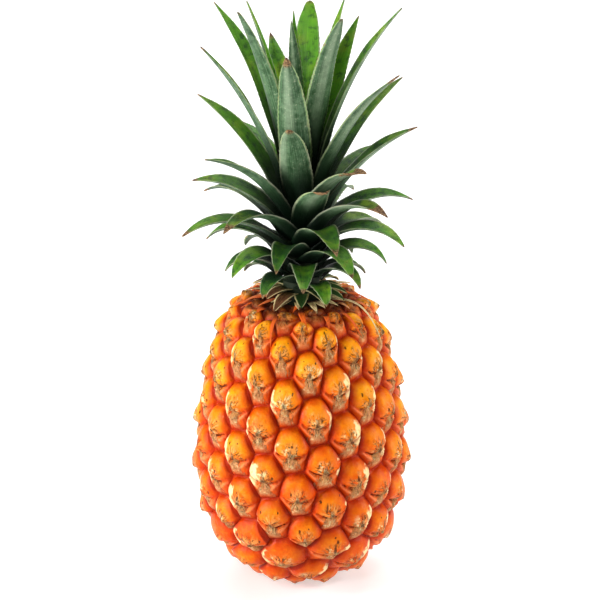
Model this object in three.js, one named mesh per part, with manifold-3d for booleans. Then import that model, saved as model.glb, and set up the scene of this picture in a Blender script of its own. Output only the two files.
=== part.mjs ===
// A ripe pineapple with its crown, standing on its flat base.
//
// Millimetres, +Z up. The origin is on the fruit's axis in the plane that it stands on, and -Y is its
// front. The fruit is one solid, the many small fruits of its flower head grown together, with an eye
// raised for each. Above it a short stem carries the crown: a fringe of small leaves round its foot, and
// the long leaves on a spiral.

import * as THREE from "three";
import { mergeVertices } from "three/addons/utils/BufferGeometryUtils.js";
import Module from "manifold-3d";

const { degToRad, lerp, clamp, smoothstep, seededRandom } = THREE.MathUtils;

// The skin's profile as [radius, height], along the bottoms of the grooves between the eyes
const SKIN_PROFILE = [
  [0.4, 2],
  [9, 1.6],
  [16, 2.4],
  [26, 7.4],
  [36.6, 18.6],
  [44.4, 35],
  [48.3, 58],
  [47.3, 80],
  [43.9, 101],
  [39.2, 121],
  [34.8, 132.5],
  [27.6, 141],
  [15, 144.6],
  [0.4, 145],
];

// The eyes lie on a spiral, each about the golden angle on from the last, and share the skin between them
const EYE_DIVERGENCE = 137.33;
const EYE_AREA = 322;
const FRONT_EYE_HEIGHT = 82.6;
const FRONT_EYE_TURN = -5.9;
// How high an eye of full size stands over the grooves, at the fruit's base and at its shoulder
const BASE_RELIEF = 4.8;
const SHOULDER_RELIEF = 6.6;
const BASE_FULL_RADIUS = 33;
const SHOULDER_FULL_RADIUS = 43.5;
const SHRINK_POWER = 1.9;
const SMALLEST_EYE_SHARE = 0.12;
// An eye's nearest neighbours on the spiral are this many eyes on
const SPIRAL_A = 8;
const SPIRAL_B = 13;
// An eye's rounded form, from the groove up to its beak: how far out a ring lies and how high, as shares
const EYE_RINGS = [
  [0.82, 0.54],
  [0.5, 0.88],
];
const RIM_SADDLE = 0.09;
const UPPER_SIDE_RISE = 0.08;
const EYE_HALF_HEIGHT = 10;
const BEAK_DROP = 1.1;
const BEAK_RELIEF = 1.7;
const PLACING_STEPS = 4000;

// The cut stalk under the fruit, and the crown's stem on top of it, each in a socket
const STALK_RADIUS = 10.5;
const STALK_DEPTH = 7;
const STEM_FOOT_RADIUS = 11.5;
const STEM_FOOT_HEIGHT = 141;
const SOCKET_GAP = 0.4;
const STEM_PROFILE = [
  [STEM_FOOT_RADIUS, STEM_FOOT_HEIGHT + SOCKET_GAP],
  [STEM_FOOT_RADIUS, 145.5],
  [9, 152],
  [8, 178],
  [6, 194],
  [3, 208],
  [1.2, 213],
];
const STEM_SIDES = 24;

// The long leaves, numbered up the stem from the lowest, on a spiral that goes on from the eyes'
const LEAF_COUNT = 52;
const LEAF_DIVERGENCE = -137.5;
const FIRST_LEAF_TURN = 22;
const LEAF_STATIONS = 8;
const ROOT_GAP = 1;
// How a leaf's form changes from the lowest leaf, at 0, to the youngest, at 1: [place, value]
const ROOT_HEIGHT = [[0, 153.5], [1, 206.5]];
const LEAF_LENGTH = [
  [0, 24], [0.15, 32], [0.28, 42], [0.38, 53], [0.5, 54], [0.6, 58], [0.68, 72], [0.75, 84], [0.82, 94],
  [0.88, 100], [1, 86],
];
const LEAF_WIDTH = [[0, 11], [0.15, 12.5], [0.3, 14], [0.5, 16], [0.75, 16], [0.88, 14], [1, 8]];
const LEAF_ROOT_WIDTH = [[0, 15], [0.3, 16], [0.5, 15.5], [0.75, 12], [0.85, 8.5], [1, 4]];
const ROOT_LEAN = [
  [0, 40], [0.15, 46], [0.28, 48], [0.38, 48], [0.47, 52], [0.53, 56], [0.6, 60], [0.68, 65], [0.75, 70],
  [0.82, 76], [0.9, 81], [1, 87],
];
const TIP_LEAN = [
  [0, -64], [0.15, -64], [0.28, -52], [0.38, -42], [0.47, -24], [0.53, -8], [0.6, 12], [0.68, 28], [0.75, 40],
  [0.82, 52], [0.9, 62], [1, 84],
];
// A blade's half width past its root and its thickness, from its root, at 0, to its tip, at 1
const BLADE_OUTLINE = [[0, 1], [0.38, 1], [0.6, 0.86], [0.8, 0.56], [0.93, 0.26], [1, 0]];
const ROOT_PART = 0.38;
const BLADE_THICKNESS = [[0, 1.3], [0.3, 1.1], [1, 0.7]];
const BLADE_CHANNEL = [[0, 0.02], [0.3, 0.3], [0.75, 0.42], [1, 0.3]];
// How far a blade's edges are drawn back round the stem, from all the way at its root to not at all
const BLADE_CLASP = [[0, 1], [0.12, 0.95], [0.4, 0], [1, 0]];
const BEND_POWER = 1.25;
const CHANNEL_POWER = 1.6;
// Stations lie closer together near the tip, and a blade's flat middle is this share of its width
const STATION_POWER = 0.9;
const FLAT_SHARE = 0.45;
// How far a long leaf may depart from the run, in degrees, as a share, or in millimetres
const TURN_SPREAD = 3;
const LENGTH_SPREAD = 0.05;
const WIDTH_SPREAD = 0.06;
const ROOT_LEAN_SPREAD = 1;
const TIP_LEAN_SPREAD = 4;
const SWAY_SPREAD = 2;
const TWIST_SPREAD = 8;
const LEAF_SEED = 1000;

// The fringe of small leaves round the stem's foot
const FRINGE_COUNT = 13;
const FRINGE_LENGTH = 19;
const FRINGE_WIDTH = 7.5;
const FRINGE_HEIGHT = 149.4;
const FRINGE_STAGGER = 1.6;
const FRINGE_ROOT_DEPTH = 3;
const FRINGE_ROOT_LEAN = 10;
const FRINGE_TIP_LEAN = -32;
const FRINGE_STATIONS = 5;
const FRINGE_SEED = 400;

const skinMaterial = new THREE.MeshStandardMaterial({ name: "skin", color: 0xe8780c, roughness: 0.45 });
const leafMaterial = new THREE.MeshStandardMaterial({ name: "leaf", color: 0x3f6b35, roughness: 0.5 });
const stemMaterial = new THREE.MeshStandardMaterial({ name: "stem", color: 0x4a5f30, roughness: 0.6 });
const stalkMaterial = new THREE.MeshStandardMaterial({ name: "stalk", color: 0xb08d57, roughness: 0.85 });

const wasm = await Module();
wasm.setup();

// A value read off a table of [place, value] pairs, straight between them
function read(table, place) {
  const next = table.findIndex(([at]) => at >= place);
  if (next <= 0) return table[0][1];
  const [low, a] = table[next - 1];
  const [high, b] = table[next];
  return lerp(a, b, (place - low) / (high - low));
}

function solidOf(geometry) {
  const bare = geometry.clone();
  bare.deleteAttribute("normal");
  bare.deleteAttribute("uv");
  const merged = mergeVertices(bare, 1e-4);
  return new wasm.Manifold(
    new wasm.Mesh({
      numProp: 3,
      vertProperties: new Float32Array(merged.attributes.position.array),
      triVerts: new Uint32Array(merged.index.array),
    }),
  );
}

function geometryOf(solid) {
  const mesh = solid.getMesh();
  const geometry = new THREE.BufferGeometry();
  geometry.setAttribute("position", new THREE.BufferAttribute(mesh.vertProperties, 3));
  geometry.setIndex(new THREE.BufferAttribute(mesh.triVerts, 1));
  geometry.computeVertexNormals();
  return geometry;
}

function geometryFrom(points, triangles) {
  const geometry = new THREE.BufferGeometry();
  geometry.setAttribute("position", new THREE.Float32BufferAttribute(points.flatMap((p) => p.toArray()), 3));
  geometry.setIndex(triangles.flat());
  geometry.computeVertexNormals();
  return geometry;
}

// Fruit

// How far a cutting solid goes past the face that it opens
const PAST = 20;

const skin = new THREE.SplineCurve(SKIN_PROFILE.map(([r, z]) => new THREE.Vector2(r, z)));
skin.arcLengthDivisions = 2000;
const skinLength = skin.getLength();

// A point over the skin, by its turn in degrees from the front, its place from 0 to 1 along the profile
// and its height above it
function overSkin(turn, place, lift) {
  const at = skin.getPointAt(clamp(place, 0, 1));
  const way = skin.getTangentAt(clamp(place, 0, 1));
  const radius = Math.max(0.01, at.x + lift * way.y);
  const angle = degToRad(turn - 90);
  return new THREE.Vector3(radius * Math.cos(angle), radius * Math.sin(angle), at.y - lift * way.x);
}

// How much smaller an eye is where the fruit narrows to its base or its shoulder
function eyeShare(place) {
  const full = place < 0.5 ? BASE_FULL_RADIUS : SHOULDER_FULL_RADIUS;
  return Math.max(SMALLEST_EYE_SHARE, Math.min(1, skin.getPointAt(place).x / full) ** SHRINK_POWER);
}

// Each eye's {turn, place, size}, counted up the spiral from the base
function placeEyes() {
  const places = [];
  let shares = 0;
  for (let i = 0; i < PLACING_STEPS; i++) {
    const place = (i + 0.5) / PLACING_STEPS;
    const ring = 2 * Math.PI * skin.getPointAt(place).x * (skinLength / PLACING_STEPS);
    shares += ring / (EYE_AREA * eyeShare(place));
    if (shares >= places.length + 0.5) places.push(place);
  }
  const front = places.findIndex((place) => {
    const at = skin.getPointAt(place);
    return at.y >= FRONT_EYE_HEIGHT && at.x > BASE_FULL_RADIUS;
  });
  return places.map((place, n) => ({
    turn: FRONT_EYE_TURN - EYE_DIVERGENCE * (n - front),
    place,
    size: Math.sqrt(eyeShare(place)),
  }));
}

// The turn from one eye to another, the short way round
function turnBetween(from, to) {
  const turn = (to.turn - from.turn) % 360;
  return turn > 180 ? turn - 360 : turn < -180 ? turn + 360 : turn;
}

// The corners where three eyes meet, as a list for each eye of {turn, place} going round it
function eyeCorners(eyes) {
  const corners = eyes.map(() => []);
  const centre = (n) => overSkin(eyes[n].turn, eyes[n].place, 0);
  for (let n = 0; n + SPIRAL_A + SPIRAL_B < eyes.length; n++) {
    const [low, left, right, high] = [n, n + SPIRAL_A, n + SPIRAL_B, n + SPIRAL_A + SPIRAL_B];
    const across = centre(left).distanceTo(centre(right)) < centre(low).distanceTo(centre(high));
    const triples = across
      ? [[low, right, left], [right, high, left]]
      : [[low, right, high], [low, high, left]];
    for (const triple of triples) {
      const first = eyes[triple[0]];
      const meanTurn = triple.reduce((sum, m) => sum + turnBetween(first, eyes[m]), 0) / 3;
      const meanPlace = triple.reduce((sum, m) => sum + eyes[m].place, 0) / 3;
      const corner = { turn: first.turn + meanTurn, place: meanPlace };
      for (const m of triple) corners[m].push(corner);
    }
  }
  eyes.forEach((eye, n) => {
    const radius = skin.getPointAt(eye.place).x;
    const across = (c) => degToRad(turnBetween(eye, c)) * radius;
    const bearing = (c) => Math.atan2((c.place - eye.place) * skinLength, across(c));
    corners[n].sort((a, b) => bearing(a) - bearing(b));
  });
  return corners;
}

// How high an eye stands at a place, over the bottoms of its grooves
function eyeRelief(place) {
  return lerp(BASE_RELIEF, SHOULDER_RELIEF, place) * Math.sqrt(eyeShare(place));
}

// The raised eye inside its ring of corners: a rim at the groove, a rounded rise, and its bract's dry beak
function addEye(eye, corners, points, triangles) {
  const rim = [];
  corners.forEach((corner, i) => {
    const next = corners[(i + 1) % corners.length];
    const turn = turnBetween(eye, corner);
    rim.push({ turn, place: corner.place, lift: 0 });
    const middleTurn = (turn + turnBetween(eye, next)) / 2;
    const middle = (corner.place + next.place) / 2;
    rim.push({ turn: middleTurn, place: middle, lift: RIM_SADDLE * eyeRelief(middle) });
  });
  const first = points.length;
  const relief = eyeRelief(eye.place);
  for (const { turn, place, lift } of rim) points.push(overSkin(eye.turn + turn, place, lift));
  for (const [out, share] of EYE_RINGS) {
    for (const { turn, place } of rim) {
      const rise = clamp(((place - eye.place) * skinLength) / (EYE_HALF_HEIGHT * eye.size), -1, 1);
      const lift = relief * (share + UPPER_SIDE_RISE * rise);
      points.push(overSkin(eye.turn + out * turn, lerp(eye.place, place, out), lift));
    }
  }
  const beak = points.length;
  const beakPlace = eye.place - (BEAK_DROP * eye.size) / skinLength;
  points.push(overSkin(eye.turn, beakPlace, relief + BEAK_RELIEF * eye.size));
  const sides = rim.length;
  for (let ring = 0; ring <= EYE_RINGS.length; ring++) {
    for (let i = 0; i < sides; i++) {
      const [a, b] = [first + ring * sides + i, first + ring * sides + ((i + 1) % sides)];
      if (ring < EYE_RINGS.length) triangles.push([a, b, b + sides], [a, b + sides, a + sides]);
      else triangles.push([a, b, beak]);
    }
  }
}

// Closes the open edge at each end of the skin with a fan round the axis
function closeEnds(geometry) {
  const index = [...geometry.index.array];
  const position = geometry.attributes.position;
  const open = new Set();
  for (let i = 0; i < index.length; i += 3) {
    for (const [a, b] of [[0, 1], [1, 2], [2, 0]]) open.add(index[i + a] + "," + index[i + b]);
  }
  const points = [];
  for (let i = 0; i < position.count; i++) points.push(new THREE.Vector3().fromBufferAttribute(position, i));
  const low = points.push(new THREE.Vector3(0, 0, SKIN_PROFILE[0][1])) - 1;
  const high = points.push(new THREE.Vector3(0, 0, SKIN_PROFILE.at(-1)[1])) - 1;
  const fans = [];
  for (const edge of open) {
    const [a, b] = edge.split(",").map(Number);
    if (open.has(b + "," + a)) continue;
    fans.push([b, a, points[a].z < FRONT_EYE_HEIGHT ? low : high]);
  }
  const triangles = [...fans];
  for (let i = 0; i < index.length; i += 3) triangles.push(index.slice(i, i + 3));
  return geometryFrom(points, triangles);
}

// A block with its top in the plane that the fruit stands on, wider than the fruit
function belowGround() {
  const width = 200;
  const depth = 40;
  return solidOf(new THREE.BoxGeometry(width, width, depth).translate(0, 0, -depth / 2));
}

function plug(radius, bottom, top) {
  const cylinder = new THREE.CylinderGeometry(radius, radius, top - bottom, STEM_SIDES);
  return solidOf(cylinder.rotateX(Math.PI / 2).translate(0, 0, (bottom + top) / 2));
}

function makeFruit() {
  const eyes = placeEyes();
  const corners = eyeCorners(eyes);
  const points = [];
  const triangles = [];
  const reach = SPIRAL_A + SPIRAL_B;
  eyes.forEach((eye, n) => {
    const whole = n >= reach && n + reach < eyes.length;
    const outside = skin.getPointAt(eye.place).x > STEM_FOOT_RADIUS;
    if (whole && outside) addEye(eye, corners[n], points, triangles);
  });
  const patches = geometryFrom(points, triangles).deleteAttribute("normal");
  const body = solidOf(closeEnds(mergeVertices(patches, 1e-3)));
  const flattened = body.subtract(belowGround());
  const drilled = flattened.subtract(plug(STALK_RADIUS + SOCKET_GAP, -PAST, STALK_DEPTH + SOCKET_GAP));
  const socket = plug(STEM_FOOT_RADIUS + SOCKET_GAP, STEM_FOOT_HEIGHT, SKIN_PROFILE.at(-1)[1] + PAST);
  const socketed = drilled.subtract(socket);
  const fruit = new THREE.Mesh(geometryOf(socketed), skinMaterial);
  fruit.name = "fruit";
  return fruit;
}

function makeStalk() {
  const cylinder = new THREE.CylinderGeometry(STALK_RADIUS, STALK_RADIUS, STALK_DEPTH, STEM_SIDES);
  const stalk = new THREE.Mesh(cylinder, stalkMaterial);
  stalk.name = "stalk";
  stalk.rotation.x = Math.PI / 2;
  stalk.position.z = STALK_DEPTH / 2;
  return stalk;
}

// Crown

// A channelled blade that grows along +X and bends in the XZ plane, from its root at the origin to its
// pointed tip
function bladeGeometry(form) {
  const { length, width, rootWidth, rootLean, tipLean, out, stations } = form;
  const { sway = 0, twist = 0, sharpness = 1 } = form;
  const points = [];
  const triangles = [];
  const [edge, top, bottom] = [0, 0.5, -0.5];
  const across = [
    [-1, edge], [-FLAT_SHARE, top], [FLAT_SHARE, top], [1, edge], [FLAT_SHARE, bottom], [-FLAT_SHARE, bottom],
  ];
  const sides = across.length;
  const middle = new THREE.Vector3();
  let last = 0;
  for (let i = 0; i <= stations; i++) {
    const t = (i / stations) ** STATION_POWER;
    const lean = (at) => degToRad(lerp(rootLean, tipLean, at ** BEND_POWER));
    const step = (t - last) * length;
    const angle = lean((t + last) / 2);
    middle.x += Math.cos(angle) * step;
    middle.z += Math.sin(angle) * step;
    middle.y = sway * t * t;
    last = t;
    if (i === stations) {
      points.push(middle.clone());
      break;
    }
    const along = new THREE.Vector3(Math.cos(lean(t)), 0, Math.sin(lean(t)));
    const roll = degToRad(twist) * t;
    const side = new THREE.Vector3(0, 1, 0).applyAxisAngle(along, roll);
    const up = new THREE.Vector3().crossVectors(along, side);
    const outline = read(BLADE_OUTLINE, t) ** sharpness;
    const half = (lerp(rootWidth, width, smoothstep(t, 0, ROOT_PART)) / 2) * outline;
    const thick = read(BLADE_THICKNESS, t);
    const reach = out + middle.x;
    for (const [v, w] of across) {
      const raise = read(BLADE_CHANNEL, t) * half * Math.abs(v) ** CHANNEL_POWER + w * thick;
      const back = read(BLADE_CLASP, t) * (reach - Math.sqrt(Math.max(reach ** 2 - (v * half) ** 2, 0)));
      const point = middle.clone().addScaledVector(side, v * half).addScaledVector(up, raise);
      point.x -= back;
      points.push(point);
    }
  }
  for (let i = 0; i + 1 < stations; i++) {
    for (let j = 0; j < sides; j++) {
      const [a, b] = [i * sides + j, i * sides + ((j + 1) % sides)];
      triangles.push([a, a + sides, b], [b, a + sides, b + sides]);
    }
  }
  const [end, tip] = [(stations - 1) * sides, points.length - 1];
  for (let j = 0; j < sides; j++) triangles.push([end + j, tip, end + ((j + 1) % sides)]);
  triangles.push([0, 1, 5], [1, 2, 4], [1, 4, 5], [2, 3, 4]);
  return geometryFrom(points, triangles);
}

const stemCurve = STEM_PROFILE.map(([r, z]) => [z, r]);
const stemRadius = (height) => read(stemCurve, height);

// An arm at a turn from the front and a height up the stem, which holds a blade by its root
function arm({ turn, height, out }, blade) {
  const group = new THREE.Group();
  group.rotation.z = degToRad(turn - 90);
  group.position.z = height;
  blade.position.x = out;
  group.add(blade);
  return group;
}

// Where single leaves depart from the general run
const LEAF_CHANGES = {
  19: { length: 58, tipLean: -32 },
  29: { turn: 13, length: 50, rootLean: 58, tipLean: 16 },
  31: { length: 70, rootLean: 62, tipLean: 26 },
  34: { turn: 43, length: 52, width: 17, rootLean: 64, tipLean: 10 },
  37: { turn: -9.5, length: 58, width: 16, rootLean: 70, tipLean: 52, sharpness: 0.7 },
  40: { length: 93, tipLean: 49 },
  42: { turn: -14, length: 86, width: 16.5, rootLean: 75.5, tipLean: 66, sharpness: 0.8 },
  43: { turn: -122, tipLean: 48 },
  44: { length: 104, tipLean: 50 },
  45: { turn: -54.5, length: 102, width: 15.5, tipLean: 64, sharpness: 0.6 },
  46: { length: 90, width: 16, sharpness: 0.5 },
  47: { width: 15, sharpness: 0.6 },
  49: { turn: 119 },
};

// A repeatable random amount either way, by its seed
function spreads(seed) {
  seededRandom(seed);
  return (amount) => amount * (2 * seededRandom() - 1);
}

function leafForm(n) {
  const place = n / (LEAF_COUNT - 1);
  const spread = spreads(LEAF_SEED + n);
  const height = read(ROOT_HEIGHT, place);
  return {
    turn: FIRST_LEAF_TURN + LEAF_DIVERGENCE * n + spread(TURN_SPREAD),
    height,
    out: stemRadius(height) + ROOT_GAP + BLADE_THICKNESS[0][1] / 2,
    length: read(LEAF_LENGTH, place) * (1 + spread(LENGTH_SPREAD)),
    width: read(LEAF_WIDTH, place) * (1 + spread(WIDTH_SPREAD)),
    rootWidth: read(LEAF_ROOT_WIDTH, place),
    rootLean: read(ROOT_LEAN, place) + spread(ROOT_LEAN_SPREAD),
    tipLean: read(TIP_LEAN, place) + spread(TIP_LEAN_SPREAD),
    sway: spread(SWAY_SPREAD),
    twist: spread(TWIST_SPREAD),
    stations: LEAF_STATIONS,
    ...LEAF_CHANGES[n],
  };
}

function makeLeaf(n) {
  const form = leafForm(n);
  const leaf = new THREE.Mesh(bladeGeometry(form), leafMaterial);
  leaf.name = "crown_leaf_" + String(n + 1).padStart(2, "0");
  return arm(form, leaf);
}

// The stem with the fringe of small leaves grown out of its foot
function makeStem() {
  const outline = STEM_PROFILE.map(([r, z]) => new THREE.Vector2(r, z));
  const closed = [new THREE.Vector2(0, outline[0].y), ...outline, new THREE.Vector2(0, outline.at(-1).y)];
  const lathe = new THREE.LatheGeometry(closed, STEM_SIDES).rotateX(Math.PI / 2);
  let solid = solidOf(lathe);
  for (let n = 0; n < FRINGE_COUNT; n++) {
    const spread = spreads(FRINGE_SEED + n);
    const height = FRINGE_HEIGHT + FRINGE_STAGGER * (n % 2);
    const form = {
      turn: (360 / FRINGE_COUNT) * n + spread(5),
      height,
      out: stemRadius(height) - FRINGE_ROOT_DEPTH,
      length: FRINGE_LENGTH * (1 + spread(0.2)),
      width: FRINGE_WIDTH,
      rootWidth: FRINGE_WIDTH,
      rootLean: FRINGE_ROOT_LEAN + spread(4),
      tipLean: FRINGE_TIP_LEAN + spread(6),
      stations: FRINGE_STATIONS,
    };
    const blade = new THREE.Mesh(bladeGeometry(form));
    arm(form, blade).updateMatrixWorld(true);
    solid = solid.add(solidOf(blade.geometry.clone().applyMatrix4(blade.matrixWorld)));
  }
  const stem = new THREE.Mesh(geometryOf(solid), stemMaterial);
  stem.name = "crown_stem";
  return stem;
}

const pineapple = new THREE.Group();
pineapple.name = "pineapple";
const crown = new THREE.Group();
crown.name = "crown";
crown.add(makeStem());
for (let n = 0; n < LEAF_COUNT; n++) crown.add(makeLeaf(n));
pineapple.add(makeFruit(), makeStalk(), crown);

export default pineapple;
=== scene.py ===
"""A ripe pineapple with its crown, dressed over its CAD frame. Metres, +Z up, -Y is the front."""

import math
from types import SimpleNamespace

import bpy
import numpy as np
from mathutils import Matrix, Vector, noise


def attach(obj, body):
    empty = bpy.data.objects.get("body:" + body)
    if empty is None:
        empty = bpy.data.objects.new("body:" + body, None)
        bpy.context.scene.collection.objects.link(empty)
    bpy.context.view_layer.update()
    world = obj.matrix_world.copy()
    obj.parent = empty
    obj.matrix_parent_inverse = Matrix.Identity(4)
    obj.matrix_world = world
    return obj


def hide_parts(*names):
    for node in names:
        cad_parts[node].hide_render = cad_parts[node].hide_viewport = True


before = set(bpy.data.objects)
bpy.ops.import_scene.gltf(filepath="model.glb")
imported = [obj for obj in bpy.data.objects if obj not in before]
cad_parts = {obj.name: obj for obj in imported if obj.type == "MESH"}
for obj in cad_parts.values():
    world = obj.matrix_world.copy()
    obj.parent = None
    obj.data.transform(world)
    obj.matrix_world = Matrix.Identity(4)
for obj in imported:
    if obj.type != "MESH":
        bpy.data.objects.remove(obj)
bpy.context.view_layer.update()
SCENE = bpy.context.scene

MM = 0.001

# Driving values of the fruit, in millimetres and degrees, the same as the CAD model's

SKIN_PROFILE = [
    (0.4, 2), (9, 1.6), (16, 2.4), (26, 7.4), (36.6, 18.6), (44.4, 35), (48.3, 58), (47.3, 80),
    (43.9, 101), (39.2, 121), (34.8, 132.5), (27.6, 141), (15, 144.6), (0.4, 145),
]
EYE_DIVERGENCE = 137.33
EYE_AREA = 322
FRONT_EYE_HEIGHT = 82.6
FRONT_EYE_TURN = -5.9
BASE_RELIEF = 4.8
SHOULDER_RELIEF = 6.6
RIM_SADDLE = 0.09
BASE_FULL_RADIUS = 33
SHOULDER_FULL_RADIUS = 43.5
SHRINK_POWER = 1.9
SMALLEST_EYE_SHARE = 0.12
SPIRAL_A = 8
SPIRAL_B = 13
PLACING_STEPS = 4000

# Driving values of the stem and the leaves, the same as the CAD model's

STEM_FOOT_RADIUS = 11.5
STEM_FOOT_HEIGHT = 141
SOCKET_GAP = 0.4
STEM_PROFILE = [
    (STEM_FOOT_RADIUS, STEM_FOOT_HEIGHT + SOCKET_GAP), (STEM_FOOT_RADIUS, 145.5), (9, 152), (8, 178),
    (6, 194), (3, 208), (1.2, 213),
]

LEAF_COUNT = 52
LEAF_DIVERGENCE = -137.5
FIRST_LEAF_TURN = 22
ROOT_GAP = 1
ROOT_HEIGHT = [(0, 153.5), (1, 206.5)]
LEAF_LENGTH = [(0, 24), (0.15, 32), (0.28, 42), (0.38, 53), (0.5, 54), (0.6, 58), (0.68, 72), (0.75, 84),
               (0.82, 94), (0.88, 100), (1, 86)]
LEAF_WIDTH = [(0, 11), (0.15, 12.5), (0.3, 14), (0.5, 16), (0.75, 16), (0.88, 14), (1, 8)]
LEAF_ROOT_WIDTH = [(0, 15), (0.3, 16), (0.5, 15.5), (0.75, 12), (0.85, 8.5), (1, 4)]
ROOT_LEAN = [(0, 40), (0.15, 46), (0.28, 48), (0.38, 48), (0.47, 52), (0.53, 56), (0.6, 60), (0.68, 65),
             (0.75, 70), (0.82, 76), (0.9, 81), (1, 87)]
TIP_LEAN = [(0, -64), (0.15, -64), (0.28, -52), (0.38, -42), (0.47, -24), (0.53, -8), (0.6, 12), (0.68, 28),
            (0.75, 40), (0.82, 52), (0.9, 62), (1, 84)]
BLADE_OUTLINE = [(0, 1), (0.38, 1), (0.6, 0.86), (0.8, 0.56), (0.93, 0.26), (1, 0)]
ROOT_PART = 0.38
BLADE_THICKNESS = [(0, 1.3), (0.3, 1.1), (1, 0.7)]
BLADE_CHANNEL = [(0, 0.02), (0.3, 0.3), (0.75, 0.42), (1, 0.3)]
BLADE_CLASP = [(0, 1), (0.12, 0.95), (0.4, 0), (1, 0)]
BEND_POWER = 1.25
CHANNEL_POWER = 1.6
TURN_SPREAD = 3
LENGTH_SPREAD = 0.05
WIDTH_SPREAD = 0.06
ROOT_LEAN_SPREAD = 1
TIP_LEAN_SPREAD = 4
SWAY_SPREAD = 2
TWIST_SPREAD = 8
LEAF_SEED = 1000
LEAF_CHANGES = {
    19: {"length": 58, "tip_lean": -32},
    29: {"turn": 13, "length": 50, "root_lean": 58, "tip_lean": 16},
    31: {"length": 70, "root_lean": 62, "tip_lean": 26},
    34: {"turn": 43, "length": 52, "width": 17, "root_lean": 64, "tip_lean": 10},
    37: {"turn": -9.5, "length": 58, "width": 16, "root_lean": 70, "tip_lean": 52, "sharpness": 0.7},
    40: {"length": 93, "tip_lean": 49},
    42: {"turn": -14, "length": 86, "width": 16.5, "root_lean": 75.5, "tip_lean": 66, "sharpness": 0.8},
    43: {"turn": -122, "tip_lean": 48},
    44: {"length": 104, "tip_lean": 50},
    45: {"turn": -54.5, "length": 102, "width": 15.5, "tip_lean": 64, "sharpness": 0.6},
    46: {"length": 90, "width": 16, "sharpness": 0.5},
    47: {"width": 15, "sharpness": 0.6},
    49: {"turn": 119},
}

FRINGE_COUNT = 13
FRINGE_LENGTH = 19
FRINGE_WIDTH = 7.5
FRINGE_HEIGHT = 149.4
FRINGE_STAGGER = 1.6
FRINGE_ROOT_DEPTH = 3
FRINGE_ROOT_LEAN = 10
FRINGE_TIP_LEAN = -32
FRINGE_SEED = 400

# The finer form of an eye, as shares of its relief and of its half width and half height

EDGE_STEPS = 6
EYE_RINGS = 17
RING_CROWDING = 1.25
EYE_SEED = 7000
DOME_MIDDLE = 0.13
DOME_HALF_WIDTH = 0.93
DOME_ABOVE = 0.79
DOME_BELOW = 0.41
SWELL_HEIGHT = 0.46
SWELL_LOSS_ABOVE = 0.34
SWELL_GAIN_BELOW = 0.1
JOINING_POWER = 6
CREASE_PLACE = -0.27
CREASE_CURVE = 0.37
CREASE_DEPTH = 0.13
CREASE_WIDTH = 0.045
COLLAR_PLACE = -0.52
COLLAR_CURVE = 0.58
COLLAR_HEIGHT = 0.24
COLLAR_WIDTH = 0.085
KEEL_WIDTH = 0.2
SLIT_DEPTH = 0.06
SLIT_WIDTH = 0.035
BEAK_HALF_WIDTH = 0.34
BEAK_ABOVE = 0.6
BEAK_BELOW = 0.16
BEAK_POWER = 1.15

# The heights and sizes of the skin's uneven swells, and where the shoulder begins and ends

LUMPS = [(0.34, 6.5), (0.2, 2.4)]
SHOULDER = (112, 140)
HEIGHT_SCALE = 150

# The finer form of the blades: steps along and across, teeth, and the wave of the edges

LEAF_PITCH = 0.85
LEAF_TOOTH = 0.4
LEAF_ACROSS = 10
FRINGE_PITCH = 0.8
FRINGE_TOOTH = 0.25
FRINGE_ACROSS = 8
LEAST_STATIONS = 8
CAD_STATIONS = 14
TOOTH_PITCH = 2.6
TOOTH_POWER = 2.5
WAVE_HEIGHT = 0.16
WAVE_PITCH = 5.5
STEM_SIDES = 40

# How much of a leaf's length is dry at its tip: drawn, less on young leaves, or set

LEAST_DRY = 0.02
DRY_SPREAD = 0.07
FIRST_YOUNG_LEAF = 44
YOUNG_DRY = 0.012
DRY_TIPS = {14: 0.05, 19: 0.09, 24: 0.12, 26: 0.2, 29: 0.2, 31: 0.08, 34: 0.26, 37: 0.05, 39: 0.08, 42: 0.07}

# Dry bracts that hang from the neck over the fruit's shoulder

PAPERY_COUNT = 27
PAPERY_SEED = 900
NARROW_COUNT = 17
NARROW_SEED = 1900
LONG_THREAD = {"turn": 66, "start": 0.91, "length": 27, "width": 0.8, "drift": -4, "above": 1.5, "seed": 0.9}
BRACT_STEPS = 14
BRACT_RING = [(-1, 0.35), (-0.4, 0.2), (0.4, 0.2), (1, 0.35), (0.4, -0.35), (-0.4, -0.35)]
BRACT_ROOT_LIFT = 0.75
BRACT_ROOT_WIDTH = 0.55
BRACT_TIP_WIDTH = 0.04
BRACT_TIP_THINNING = 0.6


def read(table, place):
    """Values read off a table of (place, value) pairs, straight between them."""
    return np.interp(place, [at for at, _ in table], [value for _, value in table])


def smooth(low, high, x):
    """Rises smoothly from 0 at low to 1 at high, or falls if low is the greater."""
    s = np.clip((np.asarray(x, float) - low) / (high - low), 0, 1)
    return s * s * (3 - 2 * s)


def bump(x, width):
    return np.exp(-(np.asarray(x, float) / width) ** 2)


def draws(seed):
    """The same draws as the CAD model's seeded ones: a function that gives the next one, from 0 to 1."""
    state = [seed]

    def imul(a, b):
        return ((a & 0xFFFFFFFF) * (b & 0xFFFFFFFF)) & 0xFFFFFFFF

    def draw():
        state[0] += 0x6D2B79F5
        t = state[0] & 0xFFFFFFFF
        t = imul(t ^ (t >> 15), t | 1)
        t ^= (t + imul(t ^ (t >> 7), t | 61)) & 0xFFFFFFFF
        return ((t ^ (t >> 14)) & 0xFFFFFFFF) / 4294967296

    draw()
    return draw


def either_way(draw, amount):
    """The next draw, up to the amount below nought or above it."""
    return amount * (2 * draw() - 1)


# The skin's profile and the places of its eyes


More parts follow.
